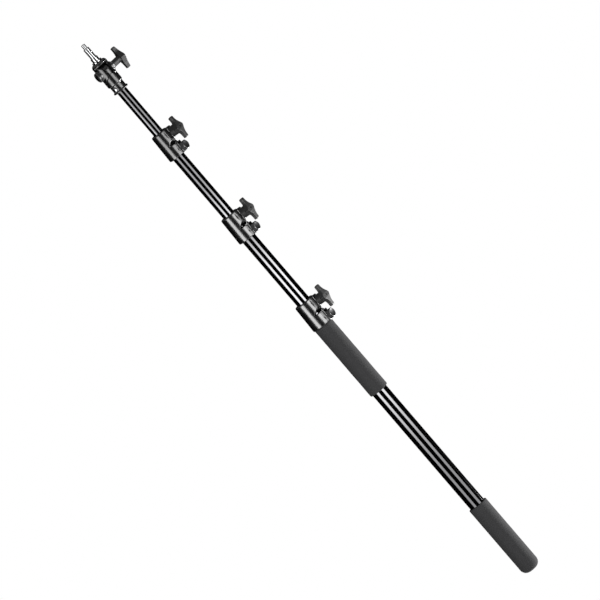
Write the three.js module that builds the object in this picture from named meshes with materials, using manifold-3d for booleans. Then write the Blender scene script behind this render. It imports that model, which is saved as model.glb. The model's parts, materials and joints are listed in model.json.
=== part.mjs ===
// A hand-held boom pole: four round aluminium tubes that telescope, three collars that clamp them,
// two foam grips, and a tilting head that carries a threaded spigot.
// Millimetres. +Z runs along the pole from its butt to its tip. The origin is the centre of the
// butt's flat face. The clamp knobs of the collars stand out along +X.

import * as THREE from "three";
import { mergeVertices } from "three/addons/utils/BufferGeometryUtils.js";
import Module from "manifold-3d";

const wasm = await Module();
wasm.setup();

// ---- Driving dimensions ----

const GAP = 0.3; // clearance between two pieces that touch or slide on each other
const FACETS = 32; // sides of a large round piece
const SMALL_FACETS = 16; // sides of a fastener

const WALL = 1; // wall of every tube
const TUBE_RADII = [12.5, 11, 9.5, 8]; // from the butt section to the tip section
const TUBE_BOTTOMS = [6.9, 222, 400, 548]; // height of each tube's lower end
const TIP_TUBE_TOP = 940.5;

const COLLARS = [
  { name: "lower", top: 516.5, tipRadius: 15.7, buttRadius: 17.1, bossReach: 22.9 },
  { name: "middle", top: 684, tipRadius: 14.4, buttRadius: 15.9, bossReach: 21.9 },
  { name: "upper", top: 841, tipRadius: 12.9, buttRadius: 14.4, bossReach: 20.9 },
];
const COLLAR_LENGTH = 44;
const COLLAR_CHAMFER = 1.2;
const KNOB_DEPTH = 9.6; // the clamp knob's axis below the collar's tip end
const BOLT_DEPTH = 36.3; // the collar bolt's axis below the tip end
const SHOULDER_DEPTH = 27.5; // the outer tube ends here, under the collar's inner shoulder
const COLLAR_CLEARANCE = 0.5; // round the inner tube
const NOTCH = { near: 18.2, far: 26.2, apex: 25, floor: 7.5 }; // the V notch, below the tip end
const LINER_LENGTH = 17;
const LINER_WALL = 1;

// The lugs of the clamp screw and the collar bolt: flat-sided walls that stand out along +X.
const KNOB_LUG_HALF = 5;
const BOLT_LUG_HALF = 4.8;
const BOLT_LUG_RISE = 3.7; // from the collar's surface to the bolt's seat
const LUG_CHAMFER = 1;

const STUD_RADIUS = 3; // M6 clamp screws and pivot bolt
const PAD = { radius: 4, height: 2.7, pocket: 5.3 };
const THREAD_GRIP = 12; // length of a screw inside its knob
const KNOB_FOOT = 0.5; // the gap between a clamp knob and its lug
const CLAMP_KNOB = { height: 16.8, drop: 1.4, stem: 8.2 };
const HEAD_KNOB = { height: 22, drop: 3, stem: 5.3 };
const WING = { half: 18.7, depth: 5.5, apex: 3 };
// Half the wing's width at distances from its middle: a kite with hollow sides.
const WING_WIDTHS = [[0, 9.2], [3.5, 7.2], [7, 5], [10, 3.7], [13, 3.1], [18.7, 3.1]];

const BOLT_HEAD = { flats: 13, height: 7, bevel: 1 };
const BOLT_SHANK_RADIUS = 3;

const GRIP_RADIUS = 15.5;
const END_GRIP = { top: 125.1, floor: 4.3, flat: 5, rim: 1.2 };
const MIDDLE_GRIP = { bottom: 346.5, top: 472.2, lowerRim: 1.2, upperRim: 0.6 };

// A guide's full-width part is under the tube, and its plug is inside the tube.
const GUIDE = { length: 50, plug: 12, wall: 2, chamfer: 0.6 };
const BUTT_PLUG = { depth: 20, wall: 1.8, floor: 2 };

const HEAD_TURN = 56; // degrees that the head is turned from the clamp knobs' side
const PIVOT_HEIGHT = 959.2;
const SOCKET = { bottom: 923.6, lip: 2, radius: 10.8, lipRadius: 12.5, step: 936.5, stepRadius: 12.6 };
const SOCKET_TOP = 954.2; // the saddle's horns, either side of the fork
const SOCKET_BORE_TOP = 940.8;
const TONGUE = { half: 4.5, radius: 11 };
const FORK = { reach: 13.5, barrel: 12.6, disc: 13, slot: 5.7, floor: 11.6, bossRadius: 8.4 };
const FORK_TOP = 977;
const CROWN = { radius: 12.5, shoulder: 972.6 }; // the fork's domed top
const SADDLE_RADIUS = 13.6; // the hollow of the socket's top, round the fork
const PIVOT_HEAD = { radius: 8.1, rise: 4, rim: 1.9, dome: 10.5 };
const PIVOT_PROUD = 14; // the pivot bolt beyond the fork, on the knob's side
const HEAD_WASHER = { radius: 6.6, thickness: 1.2 };
const FRICTION_WASHER_RADIUS = 8;
const SPIGOT = { flange: 8, base: 6, large: 4.75, small: 3.175, stud: 4 };
const SPIGOT_STEPS = { flange: 979.3, base: 985.6, large: 1002.7, tip: 1010 };
const SET_SCREW = { height: 930.5, angle: -147.6, shank: 1.7, head: 3.4, rise: 1.8, depth: 6 };

// ---- Materials ----

const finish = (color, roughness, metalness) =>
  new THREE.MeshStandardMaterial({ color, roughness, metalness });
const GLOSS_BLACK = finish(0x0b0b0c, 0.18, 0.6);
const SATIN_BLACK = finish(0x151516, 0.42, 0.3);
const KNOB_PLASTIC = finish(0x1d1d1f, 0.55, 0);
const FOAM = finish(0x2b2b2c, 0.95, 0);
const NYLON = finish(0x101010, 0.5, 0);
const CHROME = finish(0xdfe1e4, 0.08, 1);
const BLACK_STEEL = finish(0x2a2a2c, 0.3, 0.9);
const ZINC_STEEL = finish(0x9a9ca0, 0.3, 1);
const BRASS = finish(0xb08d45, 0.35, 1);

// ---- Solids ----

// A closed geometry as a solid that can be joined and cut.
function solid(geometry) {
  geometry.deleteAttribute("normal");
  geometry.deleteAttribute("uv");
  const merged = mergeVertices(geometry, 1e-4);
  return new wasm.Manifold(
    new wasm.Mesh({
      numProp: 3,
      vertProperties: new Float32Array(merged.attributes.position.array),
      triVerts: new Uint32Array(merged.index.array),
    }),
  );
}

// A named mesh from a solid.
function piece(name, shape, material) {
  const { vertProperties, triVerts } = shape.getMesh();
  const geometry = new THREE.BufferGeometry();
  geometry.setAttribute("position", new THREE.BufferAttribute(vertProperties, 3));
  geometry.setIndex(new THREE.BufferAttribute(triVerts, 1));
  geometry.computeVertexNormals();
  const mesh = new THREE.Mesh(geometry, material);
  mesh.name = name;
  return mesh;
}

// A body turned round +Z from a profile of [radius, height] points, listed anticlockwise.
function turned(profile, facets = FACETS) {
  const points = profile.map(([radius, height]) => new THREE.Vector2(radius, height));
  return new THREE.LatheGeometry(points, facets).rotateX(Math.PI / 2);
}

function rod(radius, bottom, top, facets = SMALL_FACETS) {
  return solid(turned([[0, bottom], [radius, bottom], [radius, top], [0, top]], facets));
}

function sleeve(inner, outer, bottom, top, facets = FACETS) {
  const profile = [[inner, bottom], [outer, bottom], [outer, top], [inner, top], [inner, bottom]];
  return solid(turned(profile, facets));
}

// Points on a quarter-like arc from one angle to another, in degrees, as [radius, height] points.
function arc(centreRadius, centreHeight, radius, from, to, steps) {
  return Array.from({ length: steps + 1 }, (_, i) => {
    const angle = THREE.MathUtils.degToRad(from + ((to - from) * i) / steps);
    return [centreRadius + radius * Math.cos(angle), centreHeight + radius * Math.sin(angle)];
  });
}

// A flat outline in the plane of the first two axes, with its thickness centred along the third.
function slab(outline, thickness, first, second, third) {
  const depth = { depth: thickness, bevelEnabled: false, curveSegments: SMALL_FACETS };
  const geometry = new THREE.ExtrudeGeometry(outline, depth).translate(0, 0, -thickness / 2);
  return solid(geometry.applyMatrix4(new THREE.Matrix4().makeBasis(first, second, third)));
}

function polygon(points) {
  return new THREE.Shape(points.map(([x, y]) => new THREE.Vector2(x, y)));
}

const X = new THREE.Vector3(1, 0, 0);
const Y = new THREE.Vector3(0, 1, 0);
const Z = new THREE.Vector3(0, 0, 1);

// A rod that stands out along +X at a height on the pole.
function sideRod(radius, from, to, height, facets = SMALL_FACETS) {
  const profile = [[0, from], [radius, from], [radius, to], [0, to]];
  return solid(turned(profile, facets).rotateY(Math.PI / 2).translate(0, 0, height));
}

// Stands a piece that was made along +Z out along +X, at a height on the pole.
function standOut(mesh, height) {
  mesh.rotation.y = Math.PI / 2;
  mesh.position.z = height;
  return mesh;
}

// ---- Tubes, guides and grips ----

function tube(index) {
  const radius = TUBE_RADII[index];
  const isTip = index === TUBE_RADII.length - 1;
  const top = isTip ? TIP_TUBE_TOP : COLLARS[index].top - SHOULDER_DEPTH;
  let body = sleeve(radius - WALL, radius, TUBE_BOTTOMS[index], top);
  if (isTip) body = body.subtract(setScrewHole());
  return piece(`tube_${index + 1}`, body, GLOSS_BLACK);
}

// The nylon guide that plugs a tube's lower end and slides in the next tube out. Its full-width
// part meets the collar's shoulder when the section is pulled right out.
function guide(index) {
  const bottom = TUBE_BOTTOMS[index] - GUIDE.length;
  const shelf = TUBE_BOTTOMS[index] - GAP;
  const outer = TUBE_RADII[index - 1] - WALL - GAP;
  const plug = TUBE_RADII[index] - WALL - GAP;
  const bore = plug - GUIDE.wall;
  const profile = [
    [bore, bottom],
    [outer - GUIDE.chamfer, bottom],
    [outer, bottom + GUIDE.chamfer],
    [outer, shelf],
    [plug, shelf],
    [plug, shelf + GUIDE.plug],
    [bore, shelf + GUIDE.plug],
    [bore, bottom],
  ];
  return piece(`guide_${index + 1}`, solid(turned(profile)), NYLON);
}

function buttPlug() {
  const flangeTop = TUBE_BOTTOMS[0] - GAP;
  const flangeBottom = END_GRIP.floor + GAP;
  const plug = TUBE_RADII[0] - WALL - GAP;
  const profile = [
    [0, flangeBottom],
    [TUBE_RADII[0], flangeBottom],
    [TUBE_RADII[0], flangeTop],
    [plug, flangeTop],
    [plug, flangeTop + BUTT_PLUG.depth],
    [plug - BUTT_PLUG.wall, flangeTop + BUTT_PLUG.depth],
    [plug - BUTT_PLUG.wall, flangeTop + BUTT_PLUG.floor],
    [0, flangeTop + BUTT_PLUG.floor],
  ];
  return piece("butt_plug", solid(turned(profile)), NYLON);
}

// The foam cap over the butt: round-cornered below, open above, with a soft rim.
function endGrip() {
  const { top, floor, flat, rim } = END_GRIP;
  const bore = TUBE_RADII[0] + GAP;
  const corner = GRIP_RADIUS - flat;
  const profile = [
    [0, 0],
    ...arc(flat, corner, corner, -90, 0, 6),
    ...arc(GRIP_RADIUS - rim, top - rim, rim, 0, 90, 2),
    [bore, top],
    [bore, floor],
    [0, floor],
  ];
  return piece("end_grip", solid(turned(profile)), FOAM);
}

function middleGrip() {
  const { bottom, top, lowerRim, upperRim } = MIDDLE_GRIP;
  const bore = TUBE_RADII[0] + GAP;
  const profile = [
    [bore, bottom],
    ...arc(GRIP_RADIUS - lowerRim, bottom + lowerRim, lowerRim, -90, 0, 2),
    ...arc(GRIP_RADIUS - upperRim, top - upperRim, upperRim, 0, 90, 2),
    [bore, top],
    [bore, bottom],
  ];
  return piece("middle_grip", solid(turned(profile)), FOAM);
}

// ---- Collars and their clamps ----

// A flat-sided wall from the collar's axis out to a reach along +X, between two heights.
function lug(reach, low, high, half) {
  const outline = polygon([
    [0, low],
    [reach - LUG_CHAMFER, low],
    [reach, low + LUG_CHAMFER],
    [reach, high - LUG_CHAMFER],
    [reach - LUG_CHAMFER, high],
    [0, high],
  ]);
  return slab(outline, 2 * half, X, Z, Y.clone().negate());
}

function collarBody(collar, index) {
  const { top, tipRadius, buttRadius, bossReach } = collar;
  const bottom = top - COLLAR_LENGTH;
  const inner = TUBE_RADII[index + 1];
  const outer = TUBE_RADII[index];
  const shell = solid(
    turned([
      [0, bottom],
      [buttRadius - COLLAR_CHAMFER, bottom],
      [buttRadius, bottom + COLLAR_CHAMFER],
      [tipRadius, top - COLLAR_CHAMFER],
      [tipRadius - COLLAR_CHAMFER, top],
      [0, top],
    ]),
  );
  const knobHeight = top - KNOB_DEPTH;
  const boltHeight = top - BOLT_DEPTH;
  const seat = buttRadius + BOLT_LUG_RISE;
  const knobLug = lug(bossReach, top - NOTCH.near, top, KNOB_LUG_HALF);
  const boltLug = lug(seat, bottom, top - NOTCH.far, BOLT_LUG_HALF);
  const notch = polygon([
    [NOTCH.floor, top - NOTCH.apex],
    [bossReach + 5, top - NOTCH.far],
    [bossReach + 5, top - NOTCH.near],
    [tipRadius, top - NOTCH.near],
  ]);
  const body = shell
    .add(knobLug)
    .add(boltLug)
    .subtract(rod(inner + COLLAR_CLEARANCE, bottom - 1, top + 1, FACETS))
    .subtract(rod(inner + LINER_WALL + 2 * GAP, top - LINER_LENGTH - GAP, top + 1, FACETS))
    .subtract(rod(outer + GAP, bottom - 1, top - SHOULDER_DEPTH + GAP, FACETS))
    .subtract(slab(notch, 4 * tipRadius, X, Z, Y.clone().negate()))
    .subtract(sideRod(PAD.radius + GAP, 0, inner + PAD.pocket, knobHeight))
    .subtract(sideRod(STUD_RADIUS + GAP, 0, bossReach + 1, knobHeight))
    .subtract(sideRod(BOLT_SHANK_RADIUS + GAP, 0, seat + 1, boltHeight));
  return piece(`${collar.name}_collar_body`, body, SATIN_BLACK);
}

// The wear liner that the inner tube slides through, pierced for the clamp pad.
function collarLiner(collar, index) {
  const inner = TUBE_RADII[index + 1] + GAP;
  const wall = sleeve(inner, inner + LINER_WALL, collar.top - LINER_LENGTH, collar.top);
  const hole = sideRod(PAD.radius + GAP, 0, collar.tipRadius, collar.top - KNOB_DEPTH);
  return piece(`${collar.name}_collar_liner`, wall.subtract(hole), NYLON);
}

// The hexagon bolt that fastens the collar to the outer tube.
function collarBolt(collar, index) {
  const seat = collar.buttRadius + BOLT_LUG_RISE + GAP;
  const corner = BOLT_HEAD.flats / Math.sqrt(3);
  const top = seat + BOLT_HEAD.height;
  const hexagon = solid(turned([[0, seat], [corner, seat], [corner, top], [0, top]], 6));
  const bevelCone = solid(
    turned([
      [0, seat - 1],
      [corner + BOLT_HEAD.bevel, seat - 1],
      [corner + BOLT_HEAD.bevel, top - BOLT_HEAD.bevel],
      [corner - BOLT_HEAD.bevel, top],
      [0, top],
    ]),
  );
  const shank = rod(BOLT_SHANK_RADIUS, TUBE_RADII[index] + GAP, seat + 1);
  const bolt = hexagon.intersect(bevelCone).add(shank);
  const mesh = piece(`${collar.name}_collar_bolt`, bolt, BLACK_STEEL);
  return standOut(mesh, collar.top - BOLT_DEPTH);
}

// A winged knob on its round hub. It lies along X, with its axis on Z and its foot at 0.
function knobShape({ height, drop, stem }, holeDepth) {
  const { half, depth, apex } = WING;
  const shoulder = height - drop;
  const under = shoulder - depth;
  const side = polygon([
    [-half, under],
    [half, under],
    [half, shoulder],
    [apex, height],
    [-apex, height],
    [-half, shoulder],
  ]);
  const quarter = WING_WIDTHS.map(([along, width]) => [along, -width]);
  const lower = [...quarter.slice(1).reverse().map(([x, y]) => [-x, y]), ...quarter];
  const plan = polygon([...lower, ...lower.map(([x, y]) => [-x, -y])]);
  const wing = slab(side, 4 * WING_WIDTHS[0][1], X, Z, Y.clone().negate());
  const kite = new THREE.ExtrudeGeometry(plan, { depth: 2 * height, bevelEnabled: false });
  const hub = rod(stem, 0, under + 1, 36);
  return wing
    .intersect(solid(kite.translate(0, 0, -1)))
    .add(hub)
    .subtract(rod(STUD_RADIUS + GAP, -1, holeDepth));
}

function clampKnob(collar) {
  const shape = knobShape(CLAMP_KNOB, THREAD_GRIP + GAP);
  const mesh = standOut(piece(`${collar.name}_clamp_knob`, shape, KNOB_PLASTIC), collar.top - KNOB_DEPTH);
  mesh.position.x = collar.bossReach + KNOB_FOOT;
  return mesh;
}

function clampStud(collar, index) {
  const from = TUBE_RADII[index + 1] + PAD.height + 2 * GAP;
  const to = collar.bossReach + KNOB_FOOT + THREAD_GRIP;
  const mesh = piece(`${collar.name}_clamp_stud`, rod(STUD_RADIUS, from, to), ZINC_STEEL);
  return standOut(mesh, collar.top - KNOB_DEPTH);
}

// The pad at the stud's tip, hollowed to the inner tube that it presses on.
function clampPad(collar, index) {
  const inner = TUBE_RADII[index + 1] + GAP;
  const height = collar.top - KNOB_DEPTH;
  const disc = sideRod(PAD.radius, 0, inner + PAD.height, height);
  const tubeSide = rod(inner, height - 2 * PAD.radius, height + 2 * PAD.radius, FACETS);
  const shape = disc.subtract(tubeSide);
  return piece(`${collar.name}_clamp_pad`, shape, BRASS);
}

// ---- Head ----

// The hole for the socket's set screw, in the pole's frame.
function setScrewHole() {
  const radius = SET_SCREW.shank + GAP;
  const length = SOCKET.radius + 5;
  const hole = new THREE.CylinderGeometry(radius, radius, length, SMALL_FACETS);
  hole.rotateZ(-Math.PI / 2).translate(length / 2, 0, SET_SCREW.height);
  return solid(hole.rotateZ(THREE.MathUtils.degToRad(HEAD_TURN + SET_SCREW.angle)));
}

// The cap that fits over the tip tube, with the tongue that the fork tilts on.
function headSocket() {
  const { bottom, lip, radius, lipRadius, step, stepRadius } = SOCKET;
  const bore = TUBE_RADII[3] + GAP;
  const cup = solid(
    turned([
      [bore, bottom],
      [lipRadius, bottom],
      [lipRadius, bottom + lip],
      [radius, bottom + lip + 0.4],
      [radius, step - 0.8],
      [stepRadius, step + 0.6],
      [stepRadius, SOCKET_TOP - 0.8],
      [stepRadius - 0.8, SOCKET_TOP],
      [0, SOCKET_TOP],
      [0, SOCKET_BORE_TOP],
      [bore, SOCKET_BORE_TOP],
      [bore, bottom],
    ]),
  );
  const root = PIVOT_HEIGHT - SADDLE_RADIUS - 1;
  const outline = new THREE.Shape();
  outline.moveTo(-TONGUE.radius, root);
  outline.lineTo(TONGUE.radius, root);
  outline.absarc(0, PIVOT_HEIGHT, TONGUE.radius, 0, Math.PI, false);
  outline.closePath();
  const crowned = rod(TONGUE.radius, root, FORK_TOP, FACETS);
  const tongue = slab(outline, 2 * TONGUE.half, Y, Z, X).intersect(crowned);
  const saddle = sideRod(SADDLE_RADIUS, -2 * stepRadius, 2 * stepRadius, PIVOT_HEIGHT, FACETS);
  const pin = sideRod(STUD_RADIUS + GAP, -TONGUE.half - 1, TONGUE.half + 1, PIVOT_HEIGHT);
  const hole = setScrewHole().rotate([0, 0, -HEAD_TURN]);
  return piece("head_socket", cup.subtract(saddle).add(tongue).subtract(pin).subtract(hole), SATIN_BLACK);
}

// The fork that straddles the tongue. Its crown takes the spigot.
function tiltFork() {
  const { reach, barrel, disc, slot, floor, bossRadius } = FORK;
  const bottom = PIVOT_HEIGHT - disc;
  const crown = PIVOT_HEIGHT + disc;
  const round = new THREE.Shape();
  round.absarc(0, PIVOT_HEIGHT, disc, 0, 2 * Math.PI, false);
  const cheeks = slab(round, 2 * reach, Y, Z, X).intersect(rod(barrel, bottom - 1, crown + 1, FACETS));
  const rise = FORK_TOP - CROWN.shoulder;
  const dome = solid(
    turned([
      [0, crown - GAP],
      [CROWN.radius, crown - GAP],
      ...arc(CROWN.radius - rise, CROWN.shoulder, rise, 0, 90, 4),
      [0, FORK_TOP],
    ]),
  );
  const mouth = polygon([
    [-slot, bottom - 2],
    [slot, bottom - 2],
    [slot, PIVOT_HEIGHT + floor],
    [-slot, PIVOT_HEIGHT + floor],
  ]);
  const body = cheeks
    .add(dome)
    .add(sideRod(bossRadius, -reach, reach, PIVOT_HEIGHT, 24))
    .subtract(slab(mouth, 4 * barrel, X, Z, Y.clone().negate()))
    .subtract(sideRod(STUD_RADIUS + GAP, -reach - 1, reach + 1, PIVOT_HEIGHT))
    .subtract(rod(SPIGOT.stud + GAP, PIVOT_HEIGHT + floor - 1, FORK_TOP + 1));
  return piece("tilt_fork", body, SATIN_BLACK);
}

function frictionWasher(name, side) {
  const inner = TONGUE.half + GAP;
  const outer = FORK.slot - GAP;
  const [from, to] = side > 0 ? [inner, outer] : [-outer, -inner];
  const ring = sleeve(STUD_RADIUS + GAP, FRICTION_WASHER_RADIUS, from, to, 24);
  return standOut(piece(name, ring, NYLON), PIVOT_HEIGHT);
}

// The bolt that the fork tilts on. Its domed head is on the side away from the knob.
function pivotBolt() {
  const { radius, rise, rim, dome } = PIVOT_HEAD;
  const seat = -FORK.reach - GAP;
  const end = FORK.reach + PIVOT_PROUD;
  const profile = [
    [0, seat - rise],
    ...arc(0, seat - rise + dome, dome, -82, -50, 3),
    [radius, seat - rim],
    [radius, seat],
    [STUD_RADIUS, seat],
    [STUD_RADIUS, end],
    [0, end],
  ];
  return standOut(piece("pivot_bolt", solid(turned(profile, 24)), BLACK_STEEL), PIVOT_HEIGHT);
}

function headWasher() {
  const { radius, thickness } = HEAD_WASHER;
  const from = FORK.reach + GAP;
  const ring = sleeve(STUD_RADIUS + GAP, radius, from, from + thickness, 24);
  return standOut(piece("head_washer", ring, ZINC_STEEL), PIVOT_HEIGHT);
}

function headKnob() {
  const shape = knobShape(HEAD_KNOB, PIVOT_PROUD + GAP);
  const mesh = standOut(piece("head_knob", shape, KNOB_PLASTIC), PIVOT_HEIGHT);
  mesh.position.x = FORK.reach + HEAD_WASHER.thickness + 2 * GAP;
  return mesh;
}

// The spigot: a 3/8 inch thread with a 1/4 inch thread at its tip, on a flanged base.
function spigot() {
  const { flange, base, large, small, stud } = SPIGOT;
  const steps = SPIGOT_STEPS;
  const profile = [
    [0, PIVOT_HEIGHT + FORK.floor + GAP],
    [stud, PIVOT_HEIGHT + FORK.floor + GAP],
    [stud, FORK_TOP + GAP],
    [flange, FORK_TOP + GAP],
    [flange, steps.flange - 0.4],
    [flange - 0.4, steps.flange],
    [base - 0.5, steps.flange],
    [base, steps.flange + 1],
    [base, steps.base - 0.4],
    [base - 0.4, steps.base],
    [large, steps.base],
    [large, steps.large - 0.4],
    [large - 0.4, steps.large],
    [small, steps.large],
    [small, steps.tip - 0.7],
    [small - 0.7, steps.tip],
    [0, steps.tip],
  ];
  return piece("spigot", solid(turned(profile, 24)), CHROME);
}

function setScrew() {
  const { shank, head, rise, depth, height } = SET_SCREW;
  const seat = SOCKET.radius + GAP;
  const profile = [
    [0, depth],
    [shank, depth],
    [shank, seat],
    [head, seat],
    [head, seat + rise - 0.7],
    [head - 0.7, seat + rise],
    [0, seat + rise],
  ];
  const turn = new THREE.Group();
  turn.rotation.z = THREE.MathUtils.degToRad(SET_SCREW.angle);
  turn.add(standOut(piece("head_set_screw", solid(turned(profile, 16)), CHROME), height));
  return turn;
}

// ---- Assembly ----

const pole = new THREE.Group();
pole.add(endGrip(), buttPlug(), middleGrip());
TUBE_RADII.forEach((_, index) => {
  pole.add(tube(index));
  if (index > 0) pole.add(guide(index));
});
COLLARS.forEach((collar, index) => {
  pole.add(
    collarBody(collar, index),
    collarLiner(collar, index),
    collarBolt(collar, index),
    clampPad(collar, index),
    clampStud(collar, index),
    clampKnob(collar),
  );
});

const head = new THREE.Group();
head.rotation.z = THREE.MathUtils.degToRad(HEAD_TURN);
head.add(
  headSocket(),
  setScrew(),
  tiltFork(),
  frictionWasher("friction_washer_knob_side", 1),
  frictionWasher("friction_washer_bolt_side", -1),
  pivotBolt(),
  headWasher(),
  headKnob(),
  spigot(),
);
pole.add(head);

export default pole;
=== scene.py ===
"""A hand-held telescopic boom pole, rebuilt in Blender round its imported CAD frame.

Shapes are worked out in millimetres and stored in metres, in the frame of the CAD model: +Z runs
along the pole from the butt to the spigot's tip, and the collars' clamp knobs stand out along +X.
"""

import json
import math

import bmesh
import bpy
from mathutils import Matrix, Vector, noise


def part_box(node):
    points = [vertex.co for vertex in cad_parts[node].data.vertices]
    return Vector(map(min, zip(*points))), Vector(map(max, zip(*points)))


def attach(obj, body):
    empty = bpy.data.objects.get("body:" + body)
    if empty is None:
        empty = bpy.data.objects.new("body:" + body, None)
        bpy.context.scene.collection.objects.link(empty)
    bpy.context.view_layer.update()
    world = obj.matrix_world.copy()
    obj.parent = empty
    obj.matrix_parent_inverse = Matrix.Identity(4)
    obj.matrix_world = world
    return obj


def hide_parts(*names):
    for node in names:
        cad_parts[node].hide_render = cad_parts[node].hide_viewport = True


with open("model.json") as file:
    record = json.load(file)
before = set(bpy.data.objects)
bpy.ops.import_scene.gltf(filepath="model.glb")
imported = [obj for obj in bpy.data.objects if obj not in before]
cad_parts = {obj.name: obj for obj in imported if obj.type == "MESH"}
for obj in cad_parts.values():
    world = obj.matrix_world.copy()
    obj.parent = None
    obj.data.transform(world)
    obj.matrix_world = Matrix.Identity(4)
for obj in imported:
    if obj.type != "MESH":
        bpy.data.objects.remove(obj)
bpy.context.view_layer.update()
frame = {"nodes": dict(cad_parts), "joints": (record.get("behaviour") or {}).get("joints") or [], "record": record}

MM = 0.001
GAP = 0.3  # clearance between neighbouring pieces
PAST = 1.0  # how far a cutting tool or a joined piece runs past the face it meets
FAR_PAST = 5.0  # the same, where the face is curved or the cut is slanted

ROUND = 128  # sides of a large turned piece
FINE = 48  # sides of a fastener or a drilled hole
# sides of the other turned pieces
SIDES = {"grip": 120, "large": 96, "medium": 72, "boss": 64, "dimple": 40}
# the angle between two faces, in degrees, above which the edge is shaded as a crease
CREASE = {"plain": 35, "foam": 60, "cast": 40, "bolt": 25, "knob": 45, "screw": 30, "spigot": 50}

# ---- What the frame gives ----

PIVOT = next(joint for joint in frame["joints"] if joint["name"] == "head_tilt")
PIVOT_HEIGHT = PIVOT["pos_m"][2] / MM
HEAD_TURN = math.atan2(PIVOT["axis"][1], PIVOT["axis"][0])


def box_mm(node):
    """A CAD node's lowest and highest corners, in millimetres."""
    low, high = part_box(node)
    return low / MM, high / MM


TUBE_RADII = [box_mm(f"tube_{number}")[1].x for number in (1, 2, 3, 4)]
SECTIONS = ["handle_section", "second_section", "third_section", "tip_section"]
PLACES = ["lower", "middle", "upper"]  # the collar on each of the first three sections

# ---- Dimensions of the looks, in millimetres ----

TUBE = {"wall": 1.0, "edge": 0.3}
COLLAR = {"taper": 1.45, "edge": 1.3, "clearance": 0.5, "shoulder": 27.5}
LINER = {"length": 17, "wall": 1.0, "lip": 0.25, "edge": 0.3}
KNOB_LUG = {"depth": 9.6, "half": 5.4}
BOLT_LUG = {"depth": 36.3, "half": 5.2, "rise": 3.7}
LUG_FLARE = 0.1  # of a lug's half width, for each millimetre out
LUG_EDGE = 1.0
NOTCH = {"near": 18.2, "far": 26.2, "apex": 25.0, "floor": 7.5}
STUD = {"radius": 3.0, "pitch": 1.0, "depth": 0.55}
STUD_ENDS = {"tip": 2.1, "chamfer": 2.45, "butt": 2.4, "plain": 0.5}
# a thread's rows of points in each turn, and the shares of the turn that crest and flanks take
THREAD = {"rows": 10, "crest": 0.45, "flanks": 0.4}
PAD = {"radius": 4.0, "pocket": 5.3}
BOLT = {"flats": 13.0, "height": 7.0, "bevel": 1.1, "shank": 3.0, "curve": 1.25, "steps": 6}
THREAD_HOLE = 12.3  # depth of the threaded hole in a clamp knob
CLAMP_KNOB = {"drop": 1.4, "stem": 8.2}
HEAD_KNOB = {"height": 22.0, "drop": 3.0, "stem": 5.3}
WING = {"half": 18.7, "depth": 5.5, "apex": 3.0, "flare": 0.3}
WING_EDGES = {"rim": 1.2, "peak": 4, "waist": 2.0, "end": 1.0}
HUB_EDGE = 0.7
DIMPLE = {"floor": 1.1, "mouth": 1.9, "depth": 1, "side": 0.9}  # the dent in a knob's top
# half the wing's width at distances from its middle: a kite with hollow sides
WING_WIDTHS = [(0, 9.2), (3.5, 7.2), (7, 5.0), (10, 3.7), (13, 3.15), (18.7, 3.1)]
END_GRIP = {"flat": 5.0, "floor": 4.3, "rim": 1.2}
MIDDLE_GRIP = {"low_rim": 1.2, "high_rim": 0.8}
GRIP_MOUTH = 0.5  # rounding of a grip's inner rims
GRIP_STEP = 0.8  # between the extra rows of points on a grip
BUTT_POINTS = 7  # points of the end grip's profile that get extra rows between them
# how the foam's skin is uneven: fine grain and slow swells, each as (how often in a metre, depth)
FOAM_GRAIN = (900, 0.09)
FOAM_SWELL = (60, 0.12)
FRACTAL = (1.0, 2.0, 3)  # the grain's roughness, its step in scale and its octaves
SWELL_LINE = 3  # which line through the noise the swells follow
FOAM_SINK = 0.15  # keeps the swells inside the grip's size
SOCKET = {
    "lip": 2.0, "radius": 10.8, "lip_radius": 12.5, "step": 936.5, "step_radius": 12.6, "slope": 0.8,
}
# the hollow in the socket's top that the fork turns in, and the height of its rim
SADDLE = {"radius": 13.6, "top": 954.2}
TONGUE = {"half": 4.5, "radius": 11.0, "root": 2.0, "drill": 8}
FORK = {"reach": 13.5, "barrel": 12.6, "disc": 13.0, "slot": 5.7, "floor": 11.6, "boss": 8.4}
CROWN = {"radius": 12.5, "shoulder": 972.6, "top": 977.0}
# the narrow neck under the crown: a bar, and a cone in its middle that widens upwards
NECK = {"half": 4.4, "length": 24.4, "foot": 4.0, "top": 4.6}
PIVOT_HEAD = {"radius": 8.1, "rise": 4.0, "rim": 1.1, "socket": 1.6, "key": 5.0}
PIVOT_PROUD = 14.0  # the pivot bolt's thread beyond the fork, inside the head knob
HEAD_WASHER = {"radius": 6.6, "thickness": 1.2, "edge": 0.25}
FRICTION_WASHER = {"radius": 8.0, "edge": 0.1}
SET_SCREW = {"height": 930.5, "angle": math.radians(-147.6), "head": 3.4, "brim": 0.8, "end": 6.0}
SET_THREAD = {"radius": 1.7, "pitch": 0.7, "depth": 0.3}
CROSS = {"half": 0.4, "reach": 1.8, "thickness": 2.2, "middle": 2.1}  # the screw's recess
SPIGOT = {"stud": 4.0, "flange": 8.0, "base": 6.0}
SPIGOT_TOPS = {"flange": 979.3, "base": 985.6, "large": 1002.7}
INCH = 25.4
LARGE_THREAD = {"radius": 3 / 16 * INCH, "pitch": INCH / 16, "depth": 0.62}
SMALL_THREAD = {"radius": INCH / 8, "pitch": INCH / 20, "depth": 0.52}

# how far each cast or moulded piece's edges are rounded: (voxel size, smoothing passes)
SOFTNESS = {"collar": (0.45, 13), "knob": (0.38, 6), "socket": (0.4, 4), "fork": (0.4, 5)}

# ---- Mesh helpers ----


def link(name, mesh):
    piece = bpy.data.objects.new(name, mesh)
    bpy.context.scene.collection.objects.link(piece)
    return piece


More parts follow.
